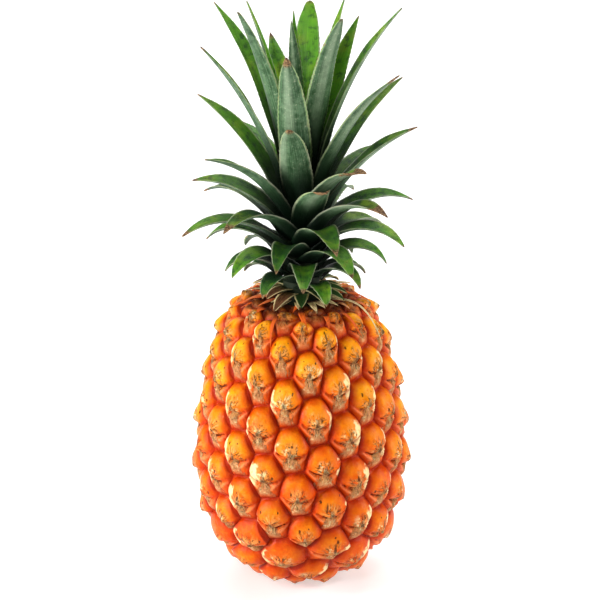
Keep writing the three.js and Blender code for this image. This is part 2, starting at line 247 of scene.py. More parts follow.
def spline(points, count=4001):
    """Samples of a smooth curve through the points, and how far along it each one is."""
    points = np.array(points, float)
    last = len(points) - 1
    t = np.linspace(0, last, count)
    i = np.minimum(t.astype(int), last - 1)
    w = (t - i)[:, None]
    p0, p1, p2, p3 = (points[np.clip(i + k, 0, last)] for k in (-1, 0, 1, 2))
    v0, v1 = (p2 - p0) / 2, (p3 - p1) / 2
    curve = (2 * p1 - 2 * p2 + v0 + v1) * w ** 3 + (3 * p2 - 3 * p1 - 2 * v0 - v1) * w ** 2 + v0 * w + p1
    along = np.concatenate([[0], np.cumsum(np.hypot(*np.diff(curve, axis=0).T))])
    return curve, along


SKIN, SKIN_ALONG = spline(SKIN_PROFILE)
SKIN_LENGTH = SKIN_ALONG[-1]
SKIN_WAY = np.gradient(SKIN, axis=0)
SKIN_WAY = SKIN_WAY / np.linalg.norm(SKIN_WAY, axis=1)[:, None]


def skin_at(place):
    """The skin's radius and height, from place 0 at the base to 1 at the neck."""
    s = np.asarray(place, float) * SKIN_LENGTH
    return np.interp(s, SKIN_ALONG, SKIN[:, 0]), np.interp(s, SKIN_ALONG, SKIN[:, 1])


def over_skin(turn, place, lift):
    """Points over the skin, in millimetres: turn from the front, place from 0 to 1 and height above it."""
    s = np.clip(np.asarray(place, float), 0, 1) * SKIN_LENGTH
    radius, height = skin_at(np.clip(place, 0, 1))
    way_r = np.interp(s, SKIN_ALONG, SKIN_WAY[:, 0])
    way_z = np.interp(s, SKIN_ALONG, SKIN_WAY[:, 1])
    radius = np.maximum(0.01, radius + lift * way_z)
    angle = np.radians(np.asarray(turn, float) - 90)
    return np.stack([radius * np.cos(angle), radius * np.sin(angle), height - lift * way_r], -1)


def eye_share(place):
    """An eye's area as a share of a full one's."""
    full = BASE_FULL_RADIUS if place < 0.5 else SHOULDER_FULL_RADIUS
    return max(SMALLEST_EYE_SHARE, min(1, float(skin_at(place)[0]) / full) ** SHRINK_POWER)


def place_eyes():
    places = []
    shares = 0
    for i in range(PLACING_STEPS):
        place = (i + 0.5) / PLACING_STEPS
        ring = 2 * math.pi * float(skin_at(place)[0]) * SKIN_LENGTH / PLACING_STEPS
        shares += ring / (EYE_AREA * eye_share(place))
        if shares >= len(places) + 0.5:
            places.append(place)
    rings = [skin_at(p) for p in places]
    front = [z >= FRONT_EYE_HEIGHT and r > BASE_FULL_RADIUS for r, z in rings].index(True)
    return [{"turn": FRONT_EYE_TURN - EYE_DIVERGENCE * (n - front), "place": p} for n, p in enumerate(places)]


def turn_between(a, b):
    """The turn from one eye or corner to another, the short way round."""
    return (b["turn"] - a["turn"] + 180) % 360 - 180


def eye_corners(eyes):
    """The corners where three eyes meet, in order round each eye."""
    corners = [[] for _ in eyes]
    centres = [over_skin(e["turn"], e["place"], 0) for e in eyes]
    for low in range(len(eyes) - SPIRAL_A - SPIRAL_B):
        left, right, high = low + SPIRAL_A, low + SPIRAL_B, low + SPIRAL_A + SPIRAL_B
        across = np.linalg.norm(centres[left] - centres[right])
        if across < np.linalg.norm(centres[low] - centres[high]):
            triples = [(low, right, left), (right, high, left)]
        else:
            triples = [(low, right, high), (low, high, left)]
        for triple in triples:
            first = eyes[triple[0]]
            turn = first["turn"] + sum(turn_between(first, eyes[m]) for m in triple) / 3
            place = sum(eyes[m]["place"] for m in triple) / 3
            for m in triple:
                corners[m].append({"turn": turn, "place": place})
    for eye, ring in zip(eyes, corners):
        radius = float(skin_at(eye["place"])[0])
        ring.sort(key=lambda c: math.atan2(
            (c["place"] - eye["place"]) * SKIN_LENGTH, math.radians(turn_between(eye, c)) * radius))
    return corners


# The form of one eye


def crease(a, b):
    """How far (a, b) lies above the crease under an eye's dome, which curves up at both sides."""
    return b - (CREASE_PLACE + CREASE_CURVE * a ** 2)


def collar(a, b):
    """How far (a, b) lies above the middle of the collar under the crease."""
    return b - (COLLAR_PLACE + COLLAR_CURVE * a ** 2)


def eye_relief(place):
    """How high an eye stands over the bottoms of its grooves, in millimetres."""
    return (BASE_RELIEF + (SHOULDER_RELIEF - BASE_RELIEF) * place) * math.sqrt(eye_share(place))


def eye_kind(draw, height):
    """What sets an eye apart: its beak, the height of its keel and the lean of its dome."""
    shoulder = float(smooth(*SHOULDER, height))
    return {
        "beak_a": 0.2 * (draw() - 0.5),
        "beak_b": -0.06 - 0.1 * draw(),
        "beak_size": (0.12 + 0.14 * draw()) * (1 + 0.9 * shoulder),
        "keel": 0.16 + 0.1 * draw(),
        "lean": 2 * draw() - 1,
    }


def eye_lift(a, b, s, kind):
    """How high an eye stands, as a share of its relief, at (a, b) across and up the eye, s out to its rim.

    A round dome over a low swell, a raised collar under the dome, and a beak with a keel below it."""
    side = np.abs(a)
    body = 1 - s ** 8
    swell = SWELL_HEIGHT - SWELL_LOSS_ABOVE * np.maximum(b, 0) - SWELL_GAIN_BELOW * np.minimum(b, 0)
    swell = (1 - s ** 4) * swell
    half_height = np.where(b > DOME_MIDDLE, DOME_ABOVE, DOME_BELOW + 0.05 * kind["lean"])
    out = (a / DOME_HALF_WIDTH) ** 2 + ((b - DOME_MIDDLE) / half_height) ** 2
    dome = np.clip(1 - out, 0, 1) ** 0.5 * (1 - 0.12 * b + 0.06 * kind["lean"] * a)
    lift = (swell ** JOINING_POWER + dome ** JOINING_POWER) ** (1 / JOINING_POWER)
    sides = smooth(0.15, 0.42, side) * smooth(1, 0.88, side)
    lift += COLLAR_HEIGHT * bump(collar(a, b), COLLAR_WIDTH) * sides * body
    lift -= CREASE_DEPTH * bump(crease(a, b), CREASE_WIDTH) * smooth(0.92, 0.75, side) * body
    off_keel = a - 0.4 * kind["beak_a"]
    below_beak = smooth(0, -0.22, b) * smooth(-0.98, -0.6, b)
    lift += kind["keel"] * bump(off_keel, KEEL_WIDTH) * below_beak * body
    lift -= SLIT_DEPTH * bump(off_keel, SLIT_WIDTH) * smooth(-0.05, -0.25, b) * body
    reach = np.where(b > kind["beak_b"], BEAK_ABOVE, BEAK_BELOW)
    off_beak = np.sqrt(((a - kind["beak_a"]) / BEAK_HALF_WIDTH) ** 2 + ((b - kind["beak_b"]) / reach) ** 2)
    return lift + kind["beak_size"] * np.clip(1 - off_beak, 0, 1) ** BEAK_POWER


def lumps(turns, places):
    """Small uneven swells, in millimetres, the same for two eyes where they meet."""
    ground = over_skin(turns, places, 0)
    return np.array([sum(rise * noise.noise(Vector(p) / size) for rise, size in LUMPS) for p in ground])


def eye_rim(eye, ring):
    """The rim of an eye: turns from its middle, places, and nearness to the middle of a side."""
    turns, places, saddles = [], [], []
    for corner, after in zip(ring, ring[1:] + ring[:1]):
        for k in range(EDGE_STEPS):
            f = k / EDGE_STEPS
            turns.append((1 - f) * turn_between(eye, corner) + f * turn_between(eye, after))
            places.append((1 - f) * corner["place"] + f * after["place"])
            saddles.append(4 * f * (1 - f))
    return np.array(turns), np.array(places), np.array(saddles)


def ring_faces(rings, sides):
    """Triangles between neighbouring rings of points."""
    i = np.arange(sides)
    j = (i + 1) % sides
    faces = []
    for low in range(0, (rings - 1) * sides, sides):
        high = low + sides
        faces += [np.stack([low + i, low + j, high + j], -1), np.stack([low + i, high + j, high + i], -1)]
    return np.concatenate(faces)


def fan_faces(low, sides, tip):
    """Triangles from a ring of points, which starts at low, to a tip."""
    i = np.arange(sides)
    return np.stack([low + i, low + (i + 1) % sides, np.full(sides, tip)], -1)


def eye_arrays(n, eye, ring):
    """One eye: points in millimetres, faces, (across, up, out) for each point, and its own values."""
    turns, places, saddles = eye_rim(eye, ring)
    radius, height = (float(v) for v in skin_at(eye["place"]))
    rim_lift = RIM_SADDLE * saddles * np.array([eye_relief(p) for p in places])
    x = np.radians(turns) * radius
    y = (places - eye["place"]) * SKIN_LENGTH
    half, up, down = np.abs(x).max(), y.max(), -y.min()
    draw = draws(EYE_SEED + n)
    kind = eye_kind(draw, height)
    eye_value = np.array([draw(), draw(), height / HEIGHT_SCALE])
    relief = eye_relief(eye["place"])
    points, cells = [], []
    for k, s in enumerate(1 - (np.arange(EYE_RINGS) / EYE_RINGS) ** RING_CROWDING):
        a = s * x / half
        b = s * np.where(y > 0, y / up, y / down)
        lift = rim_lift if k == 0 else relief * eye_lift(a, b, s, kind) + rim_lift * s ** 8
        turn = eye["turn"] + s * turns
        place = eye["place"] + s * (places - eye["place"])
        lift = lift + (1 - 0.6 * s ** 6) * lumps(turn, place)
        points.append(over_skin(turn, place, lift))
        cells.append(np.stack([a, b, np.full(len(x), s)], -1))
    nought = np.zeros(1)
    middle_lift = relief * eye_lift(nought, nought, nought, kind)
    points.append(over_skin(eye["turn"] + nought, eye["place"] + nought, middle_lift))
    cells.append(np.zeros((1, 3)))
    sides = len(x)
    middle = EYE_RINGS * sides
    faces = np.concatenate([ring_faces(EYE_RINGS, sides), fan_faces(middle - sides, sides, middle)])
    return np.concatenate(points), faces, np.concatenate(cells), eye_value


# The whole skin


def weld(points, faces, loops):
    """Points that lie together become one. loops holds values for each face corner."""
    _, first, inverse = np.unique(np.round(points / 2e-6).astype(np.int64), axis=0, return_index=True,
                                  return_inverse=True)
    faces = inverse.reshape(-1)[faces]
    keep = (faces[:, 0] != faces[:, 1]) & (faces[:, 1] != faces[:, 2]) & (faces[:, 2] != faces[:, 0])
    return points[first], faces[keep], {name: values[keep] for name, values in loops.items()}


def close_ends(points, faces, loops, low, high, middle):
    """Closes each open edge with a fan to the point low or high on the axis."""
    edges = np.concatenate([faces[:, [0, 1]], faces[:, [1, 2]], faces[:, [2, 0]]])
    known = set(map(tuple, edges.tolist()))
    fans = np.array([(b, a, len(points) + (0 if points[a][2] < middle else 1))
                     for a, b in edges.tolist() if (b, a) not in known])
    extra = {name: np.zeros((len(fans), 3, 3)) for name in loops}
    extra["cell"][:, :, 2] = 1
    loops = {name: np.concatenate([values, extra[name]]) for name, values in loops.items()}
    return np.vstack([points, [low, high]]), np.concatenate([faces, fans]), loops


def fruit_arrays():
    """The skin in metres: points, faces, and the values "cell" and "eye" of each face corner."""
    eyes = place_eyes()
    corners = eye_corners(eyes)
    reach = SPIRAL_A + SPIRAL_B
    all_points, all_faces, all_cells, all_eyes = [], [], [], []
    count = 0
    for n in range(reach, len(eyes) - reach):
        if skin_at(eyes[n]["place"])[0] <= STEM_FOOT_RADIUS:
            continue
        points, faces, cells, eye_value = eye_arrays(n, eyes[n], corners[n])
        all_points.append(points)
        all_faces.append(faces + count)
        all_cells.append(cells[faces])
        all_eyes.append(np.broadcast_to(eye_value, (len(faces), 3, 3)))
        count += len(points)
    loops = {"cell": np.concatenate(all_cells), "eye": np.concatenate(all_eyes)}
    points, faces, loops = weld(np.concatenate(all_points) * MM, np.concatenate(all_faces), loops)
    low = (0, 0, SKIN_PROFILE[0][1] * MM)
    high = (0, 0, SKIN_PROFILE[-1][1] * MM)
    points, faces, loops = close_ends(points, faces, loops, low, high, FRONT_EYE_HEIGHT * MM)
    points[:, 2] = np.maximum(points[:, 2], 0)
    return points, faces, loops


def make_mesh(name, points, faces, values, domain, material):
    """A mesh object from arrays in metres, with vector values on its face corners or its points."""
    mesh = bpy.data.meshes.new(name)
    mesh.from_pydata(points.tolist(), [], faces.tolist())
    for attribute, rows in values.items():
        layer = mesh.attributes.new(attribute, "FLOAT_VECTOR", domain)
        layer.data.foreach_set("vector", rows.reshape(-1).astype(np.float32))
    mesh.polygons.foreach_set("use_smooth", [True] * len(mesh.polygons))
    mesh.materials.append(material)
    piece = bpy.data.objects.new(name, mesh)
    SCENE.collection.objects.link(piece)
    return piece


def make_fruit(material):
    points, faces, loops = fruit_arrays()
    fruit = make_mesh("fruit_skin", points, faces, loops, "CORNER", material)
    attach(fruit, "root")
    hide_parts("fruit")


# Blades, for the leaves and the fringe


def blade_line(form, t):
    """The middle line of a blade, and the ways across it and up from its inner face."""
    lean = np.radians(form["root_lean"] + (form["tip_lean"] - form["root_lean"]) * t ** BEND_POWER)
    half_lean = (lean[1:] + lean[:-1]) / 2
    step = np.diff(t) * form["length"]
    x = np.concatenate([[0], np.cumsum(np.cos(half_lean) * step)])
    y = form["sway"] * t * t
    z = np.concatenate([[0], np.cumsum(np.sin(half_lean) * step)])
    along = np.stack([np.cos(lean), np.zeros_like(t), np.sin(lean)], -1)
    untwisted_up = np.stack([-np.sin(lean), np.zeros_like(t), np.cos(lean)], -1)
    untwisted_side = np.array([0.0, 1.0, 0.0])
    twist = np.radians(form["twist"]) * t
    side = untwisted_side * np.cos(twist)[:, None] + np.cross(along, untwisted_side) * np.sin(twist)[:, None]
    up = np.cross(along, side)
    up = up * np.sign((up * untwisted_up).sum(-1))[:, None]
    return np.stack([x, y, z], -1), side, up


def blade_half_widths(form, t):
    """Half the width of a blade, rounded off between the CAD model's stations."""
    widths = form["root_width"] + (form["width"] - form["root_width"]) * smooth(0, ROOT_PART, t)
    half = widths / 2 * read(BLADE_OUTLINE, t) ** form.get("sharpness", 1)
    reach = max(1, (len(t) - 1) // CAD_STATIONS)
    window = 2 * reach + 1
    rounded = np.convolve(np.pad(half, reach, mode="edge"), np.ones(window) / window, "valid")
    ends = smooth(0, 0.1, t) * smooth(1, 0.93, t)
    return half * (1 - ends) + rounded * ends


def tube_faces(rows, sides):
    """Triangles between neighbouring rows of points that run round the other way."""
    k = np.arange(rows - 1)[:, None] * sides
    i = np.arange(sides)[None, :]
    j = (i + 1) % sides
    a, b, c, d = k + i, k + j, k + sides + i, k + sides + j
    return np.concatenate([np.stack([a, c, b], -1).reshape(-1, 3), np.stack([b, c, d], -1).reshape(-1, 3)])


def blade_faces(rows, sides, across):
    """The faces of a blade: its tube, the fan at its tip and the strip that closes its root."""
    tip = rows * sides
    cap = fan_faces(tip - sides, sides, tip)[:, [0, 2, 1]]
    root = [(0, 1, sides - 1)]
    root += [(h, h + 1, sides - h) for h in range(1, across - 1)]
    root += [(h + 1, sides - h - 1, sides - h) for h in range(1, across - 1)]
    root += [(across - 1, across, sides - across + 1)]
    return np.concatenate([tube_faces(rows, sides), cap, np.array(root)])


def blade_arrays(form, pitch, tooth, across):
    """A channelled blade in millimetres: points, faces, and (along, across, face) for each point."""
    rows = max(LEAST_STATIONS, int(math.ceil(form["length"] / pitch)))
    t = np.linspace(0, 1, rows + 1)
    middle, side, up = blade_line(form, t)
    half = blade_half_widths(form, t)
    thick, channel, clasp = (read(table, t) for table in (BLADE_THICKNESS, BLADE_CHANNEL, BLADE_CLASP))
    reach = form["out"] + middle[:, 0]
    run = t * form["length"]
    saw = ((run + 3 * form["seed"]) % TOOTH_PITCH) / TOOTH_PITCH
    teeth = tooth * saw ** TOOTH_POWER * smooth(0.06, 0.2, t) * smooth(0.98, 0.8, t)
    wave = WAVE_HEIGHT * np.sin(run / WAVE_PITCH + 9 * form["seed"]) * smooth(0.1, 0.5, t)
    v = np.linspace(-1, 1, across + 1)
    v = np.sign(v) * np.abs(v) ** 0.85
    ring = [(x, 1) for x in v] + [(x, -1) for x in v[::-1][1:-1]]
    sections, values = [], []
    for x, face in ring:
        out = abs(x)
        lift = channel * half * out ** CHANNEL_POWER + face * 0.5 * thick * max(0, 1 - out ** 3) ** 0.5
        lift = lift + wave * out ** 2 * (1 if x > 0 else -0.7)
        half_here = half + teeth * out ** 6
        point = middle + side * (x * half_here)[:, None] + up * lift[:, None]
        point[:, 0] -= clasp * (reach - np.sqrt(np.maximum(reach ** 2 - (x * half) ** 2, 0)))
        sections.append(point)
        values.append(np.stack([t, np.full_like(t, x), np.full_like(t, face)], -1))
    points = np.concatenate([np.stack(sections, 1)[:-1].reshape(-1, 3), middle[-1:]])
    values = np.concatenate([np.stack(values, 1)[:-1].reshape(-1, 3), [[1, 0, 1]]])
    return points, blade_faces(rows, len(ring), across), values


def set_on_stem(points, form):
    """Points of a blade, in millimetres from its root, set at its turn and height, in metres."""
    angle = math.radians(form["turn"] - 90)
    x = points[:, 0] + form["out"]
    y = points[:, 1]
    return np.stack([
        x * math.cos(angle) - y * math.sin(angle),
        x * math.sin(angle) + y * math.cos(angle),
        points[:, 2] + form["height"],
    ], -1) * MM


def join(parts):
    """One mesh's arrays, from (points, faces, blade values, leaf value) for each part."""
    points, faces, blades, leaves = [], [], [], []
    total = 0
    for part_points, part_faces, blade, leaf in parts:
        points.append(part_points)
        faces.append(part_faces + total)
        blades.append(blade)
        leaves.append(np.tile(leaf, (len(part_points), 1)))
        total += len(part_points)
    values = {"blade": np.concatenate(blades), "leaf": np.concatenate(leaves)}
    return np.concatenate(points), np.concatenate(faces), values


# Leaves


def stem_radius(height):
    return read([(z, r) for r, z in STEM_PROFILE], height)


def leaf_form(n):
    place = n / (LEAF_COUNT - 1)
    draw = draws(LEAF_SEED + n)
    height = read(ROOT_HEIGHT, place)
    form = {
        "turn": FIRST_LEAF_TURN + LEAF_DIVERGENCE * n + either_way(draw, TURN_SPREAD),
        "height": height,
        "out": stem_radius(height) + ROOT_GAP + BLADE_THICKNESS[0][1] / 2,
        "length": read(LEAF_LENGTH, place) * (1 + either_way(draw, LENGTH_SPREAD)),
        "width": read(LEAF_WIDTH, place) * (1 + either_way(draw, WIDTH_SPREAD)),
        "root_width": read(LEAF_ROOT_WIDTH, place),
        "root_lean": read(ROOT_LEAN, place) + either_way(draw, ROOT_LEAN_SPREAD),
        "tip_lean": read(TIP_LEAN, place) + either_way(draw, TIP_LEAN_SPREAD),
        "sway": either_way(draw, SWAY_SPREAD),
        "twist": either_way(draw, TWIST_SPREAD),
        "place": place,
        "dry": LEAST_DRY + DRY_SPREAD * draw() ** 2,
        "seed": draw(),
    }
    form.update(LEAF_CHANGES.get(n, {}))
    form["dry"] = DRY_TIPS.get(n, form["dry"] if n < FIRST_YOUNG_LEAF else YOUNG_DRY)
    return form


def make_leaf(n, material):
    form = leaf_form(n)
    points, faces, values = blade_arrays(form, LEAF_PITCH, LEAF_TOOTH, LEAF_ACROSS)
    leaf = (form["seed"], form["place"], form["dry"])
    arrays = join([(set_on_stem(points, form), faces, values, leaf)])
    piece = make_mesh("blade_%02d" % (n + 1), *arrays, "POINT", material)
    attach(piece, "root")
    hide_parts("crown_leaf_%02d" % (n + 1))


# The stem and its fringe


def fringe_form(n):
    draw = draws(FRINGE_SEED + n)
    height = FRINGE_HEIGHT + FRINGE_STAGGER * (n % 2)
    return {
        "turn": 360 / FRINGE_COUNT * n + either_way(draw, 5),
        "height": height,
        "out": stem_radius(height) - FRINGE_ROOT_DEPTH,
        "length": FRINGE_LENGTH * (1 + either_way(draw, 0.2)),
        "width": FRINGE_WIDTH,
        "root_width": FRINGE_WIDTH,
        "root_lean": FRINGE_ROOT_LEAN + either_way(draw, 4),
        "tip_lean": FRINGE_TIP_LEAN + either_way(draw, 6),
        "sway": 0,
        "twist": 0,
        "seed": n / FRINGE_COUNT,
    }


def stem_arrays():
    """The stem's turned body in metres, closed at both ends: points and faces."""
    angle = np.linspace(0, 2 * math.pi, STEM_SIDES, endpoint=False)
    points = [np.stack([r * np.cos(angle), r * np.sin(angle), np.full(STEM_SIDES, z)], -1)
              for r, z in np.array(STEM_PROFILE)]
    points.append(np.array([[0, 0, STEM_PROFILE[0][1]], [0, 0, STEM_PROFILE[-1][1]]]))
    low = len(STEM_PROFILE) * STEM_SIDES
    foot = fan_faces(0, STEM_SIDES, low)[:, [1, 0, 2]]
    head = fan_faces(low - STEM_SIDES, STEM_SIDES, low + 1)
    faces = np.concatenate([ring_faces(len(STEM_PROFILE), STEM_SIDES), foot, head])
    return np.concatenate(points) * MM, faces


def make_stem(material):
    """The stem's turned body with the fringe's blades set into it, as one piece."""
    points, faces = stem_arrays()
    parts = [(points, faces, np.zeros((len(points), 3)), (0.0, 0.0, 0.0))]
    for n in range(FRINGE_COUNT):
        form = fringe_form(n)
        blade, faces, values = blade_arrays(form, FRINGE_PITCH, FRINGE_TOOTH, FRINGE_ACROSS)
        parts.append((set_on_stem(blade, form), faces, values, (form["seed"], 1.0, 0.1)))
    piece = make_mesh("stem_fringe", *join(parts), "POINT", material)
    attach(piece, "root")
    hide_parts("crown_stem")


# The neck's dry bracts


def bract_forms():
    """Broad papery bracts close to the stem, narrow ones over the eyes and one long thread."""
    forms = []
    for n in range(PAPERY_COUNT):
        draw = draws(PAPERY_SEED + n)
        forms.append({
            "turn": 360 / PAPERY_COUNT * (n + 0.8 * (draw() - 0.5)),
            "start": 0.944 - 0.016 * draw(),
            "length": 6 + 10 * draw(),
            "width": 1.1 + 1.5 * draw(),
            "drift": 18 * (draw() - 0.5),
            "above": 0.7 + 0.8 * draw(),
            "seed": 0.44 + 0.56 * draw(),
        })
    for n in range(NARROW_COUNT):
        draw = draws(NARROW_SEED + n)
        forms.append({
            "turn": 360 / NARROW_COUNT * (n + 0.9 * (draw() - 0.5)),
            "start": 0.91 - 0.035 * draw(),
            "length": 8 + 9 * draw() ** 2,
            "width": 1.0 + 0.8 * draw(),
            "drift": 12 * (draw() - 0.5),
            "above": -0.5,
            "seed": 0.6 * draw(),
        })
    return forms + [LONG_THREAD]


def bract_arrays(form):
    """A thin closed strip over the skin, in the same form as a blade."""
    t = np.linspace(0, 1, BRACT_STEPS + 1)
    place = form["start"] - t * form["length"] / SKIN_LENGTH
    share = np.sqrt([eye_share(p) for p in place])
    near_root = BRACT_ROOT_LIFT + (1 - BRACT_ROOT_LIFT) * smooth(0, 0.4, t)
    lift = SHOULDER_RELIEF * share * near_root + form["above"]
    turn = form["turn"] + form["drift"] * t ** 1.3
    middle = over_skin(turn, place, lift)
    out = over_skin(turn, place, lift + 1) - middle
    way = np.gradient(middle, axis=0)
    way /= np.linalg.norm(way, axis=1)[:, None]
    side = np.cross(out, way)
    half = form["width"] * (BRACT_ROOT_WIDTH + (1 - BRACT_ROOT_WIDTH) * smooth(0, 0.25, t))
    half = half * np.clip(1 - t ** 2.2, BRACT_TIP_WIDTH, 1)
    thin = 1 - BRACT_TIP_THINNING * t
    points = [middle + side * (v * half)[:, None] + out * (w * thin)[:, None] for v, w in BRACT_RING]
    values = [np.stack([t, np.full_like(t, v), np.full_like(t, np.sign(w))], -1) for v, w in BRACT_RING]
    sides = len(BRACT_RING)
    end = BRACT_STEPS * sides
    caps = [(0, q, q + 1) for q in range(1, sides - 1)]
    caps += [(end, end + q + 1, end + q) for q in range(1, sides - 1)]
    faces = np.concatenate([tube_faces(BRACT_STEPS + 1, sides), np.array(caps)])
    return np.stack(points, 1).reshape(-1, 3), faces, np.stack(values, 1).reshape(-1, 3)


def make_bracts(material):
    parts = []
    for form in bract_forms():
        points, faces, values = bract_arrays(form)
        parts.append((points * MM, faces, values, (form["seed"], 0.5, 0.0)))
    piece = make_mesh("neck_bracts", *join(parts), "POINT", material)
    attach(piece, "root")


# Materials


class Nodes:
    """Builds a material's node tree by calls: each one adds a node and gives back its result."""

    def __init__(self, name):
        self.material = bpy.data.materials.new(name)
        self.material.use_nodes = True
        self.tree = self.material.node_tree
        self.tree.nodes.clear()
        self.place = self.new("TexCoord").outputs["Object"]

    def new(self, kind):
        return self.tree.nodes.new("ShaderNode" + kind)

    def put(self, socket, value):
        """Links a result to a socket, or sets a colour or a number on it."""
        if isinstance(value, bpy.types.NodeSocket):
            self.tree.links.new(value, socket)
        elif isinstance(value, tuple):
            socket.default_value = (*value, 1)
        else:
            socket.default_value = value

    def math(self, operation, a, b=0.0, clamp=False):
        node = self.new("Math")
        node.operation = operation
        node.use_clamp = clamp
        self.put(node.inputs[0], a)
        self.put(node.inputs[1], b)
        return node.outputs[0]

    def add(self, a, b):
        return self.math("ADD", a, b)

    def sub(self, a, b):
        return self.math("SUBTRACT", a, b)

    def mul(self, a, b):
        return self.math("MULTIPLY", a, b)

    def most(self, a, b):
        return self.math("MAXIMUM", a, b)

    def absolute(self, a):
        return self.math("ABSOLUTE", a)

    def held(self, a, low, high):
        return self.math("MINIMUM", self.most(a, low), high)

    def swing(self, a, amount=1.0):
        """A value from 0 to 1, made to swing about nought, over the amount."""
        return self.mul(self.sub(a, 0.5), amount)

    def away(self, a, b):
        """How far (a, b) is from (0, 0)."""
        return self.math("SQRT", self.add(self.mul(a, a), self.mul(b, b)))

    def step(self, low, high, x):
        """Rises smoothly from 0 at low to 1 at high, or falls if low is the greater."""
        node = self.new("MapRange")
        node.interpolation_type = "SMOOTHSTEP"
        self.put(node.inputs["Value"], x)
        ends = (high, low, 1.0, 0.0) if low > high else (low, high, 0.0, 1.0)
        for end, value in zip(("From Min", "From Max", "To Min", "To Max"), ends):
            node.inputs[end].default_value = value
        return node.outputs["Result"]

    def near(self, x, far, close):
        """1 where x is close to nought, down to 0 where it is far from it."""
        return self.step(far, close, self.absolute(x))

    def mix(self, amount, a, b):
        node = self.new("Mix")
        node.data_type = "RGBA"
        self.put(node.inputs[0], amount)
        self.put(node.inputs[6], a)
        self.put(node.inputs[7], b)
        return node.outputs[2]

    def over(self, colour, layer, mask, amount):
        """The layer laid over the colour where the mask is 1, as strongly as the amount."""
        return self.mix(self.mul(mask, amount), colour, layer)

    def parts(self, vector):
        split = self.new("SeparateXYZ")
        self.tree.links.new(vector, split.inputs[0])
        return split.outputs[0], split.outputs[1], split.outputs[2]

    def attribute(self, name):
        node = self.new("Attribute")
        node.attribute_name = name
        return self.parts(node.outputs["Vector"])

    def noise(self, scale, detail=3.0, roughness=0.55, vector=None):
        node = self.new("TexNoise")
        self.put(node.inputs["Vector"], vector or self.place)
        node.inputs["Scale"].default_value = scale
        node.inputs["Detail"].default_value = detail
        node.inputs["Roughness"].default_value = roughness
        return node.outputs["Fac"]

    def grain(self, scale, detail, roughness, *parts):
        """Noise over three values, each one stretched: a value and its stretch for each part."""
        vector = self.new("CombineXYZ")
        for socket, part in zip(vector.inputs, parts):
            self.put(socket, self.mul(*part))
        return self.noise(scale, detail, roughness, vector.outputs[0])

    def bump(self, height, distance, strength):
        node = self.new("Bump")
        node.inputs["Strength"].default_value = strength
        node.inputs["Distance"].default_value = distance
        self.put(node.inputs["Height"], height)
        return node.outputs[0]

    def finish(self, colour, roughness, normal, specular):
        shader = self.new("BsdfPrincipled")
        output = self.new("OutputMaterial")
        self.put(shader.inputs["Base Color"], colour)
        self.put(shader.inputs["Roughness"], roughness)
        self.put(shader.inputs["Normal"], normal)
        shader.inputs["Specular IOR Level"].default_value = specular
        self.tree.links.new(shader.outputs[0], output.inputs[0])
        return self.material


# The skin's colours

GOLD = (1.0, 0.4, 0.006)
ORANGE = (0.8, 0.13, 0.0008)
RED_ORANGE = (0.54, 0.036, 0.0005)
GROOVE = (0.36, 0.016, 0.0003)
SALMON = (0.82, 0.15, 0.025)
PALE_SALMON = (0.96, 0.31, 0.11)
PAPER = (0.84, 0.44, 0.2)
PAPER_GREY = (0.7, 0.29, 0.12)
PAPER_DARK = (0.16, 0.045, 0.014)
TAN = (0.78, 0.4, 0.12)
PALE_DRY = (0.98, 0.82, 0.43)
CREAM = (0.97, 0.8, 0.42)
DARK_BROWN = (0.03, 0.007, 0.003)
# the painted shade round the neck
NECK_SHADE_BROWN = (0.09, 0.01, 0.002)

# How far across and up an eye the pits spread, and their size
PITS = [(1.3, 0.5, 0.055), (-0.9, 0.9, 0.035)]
SKIN_BUMP = 0.0011


def eye_values(m):
    """What the skin's colours are worked out from."""
    e = SimpleNamespace()
    a, b, e.rim = m.attribute("cell")
    e.draw_a, e.draw_b, e.height = m.attribute("eye")
    e.x, e.y, e.z = m.parts(m.place)
    e.wobble = m.swing(m.noise(190))
    drift = m.swing(m.grain(160, 3, 0.55, (a, 0.03), (b, 0.03), (e.draw_a, 1)))
    e.a = m.add(a, m.mul(e.wobble, 0.2))
    e.b = m.add(b, m.add(m.mul(e.wobble, 0.1), m.mul(drift, 0.12)))
    e.side = m.absolute(e.a)
    square = m.mul(e.a, e.a)
    e.over_crease = m.sub(e.b, m.add(m.mul(square, CREASE_CURVE), CREASE_PLACE))
    e.over_collar = m.sub(e.b, m.add(m.mul(square, COLLAR_CURVE), COLLAR_PLACE))
    e.blotch = m.noise(70, 4, 0.6)
    e.fine = m.noise(430, 4, 0.65)
    e.fibre = m.grain(9, 5, 0.7, (e.a, 2.2), (e.b, 0.5), (e.draw_a, 40))
    above_beak = m.add(e.b, 0.1)
    e.off_beak = m.away(e.a, above_beak)
    around = m.math("ARCTAN2", above_beak, e.a)
    e.ray = m.grain(2.6, 3, 0.6, (around, 1.5), (e.off_beak, 0.9), (e.draw_a, 30))
    return e


def flesh_colour(m, e):
    """Gold on the upper eyes, orange below, red towards the base; each eye gold at its top and orange below
    as painted light from above.
    """
    # painted light: gold towards the top of each eye, as if lit from above
    gold = m.add(m.mul(m.step(-0.3, 0.6, e.b), 0.5), m.mul(m.step(0.2, 1.0, e.height), 0.6))
    gold = m.add(gold, m.swing(e.blotch, 1.5))
    gold = m.add(gold, m.swing(e.draw_b, 0.34))
    colour = m.mix(m.math("ADD", gold, -0.2, clamp=True), ORANGE, GOLD)
    colour = m.over(colour, RED_ORANGE, m.step(0.6, 0.05, e.height), 0.42)
    colour = m.over(colour, GOLD, m.step(0.5, 0.72, e.fine), 0.28)
    return m.over(colour, RED_ORANGE, m.step(0.46, 0.3, e.fine), 0.3)


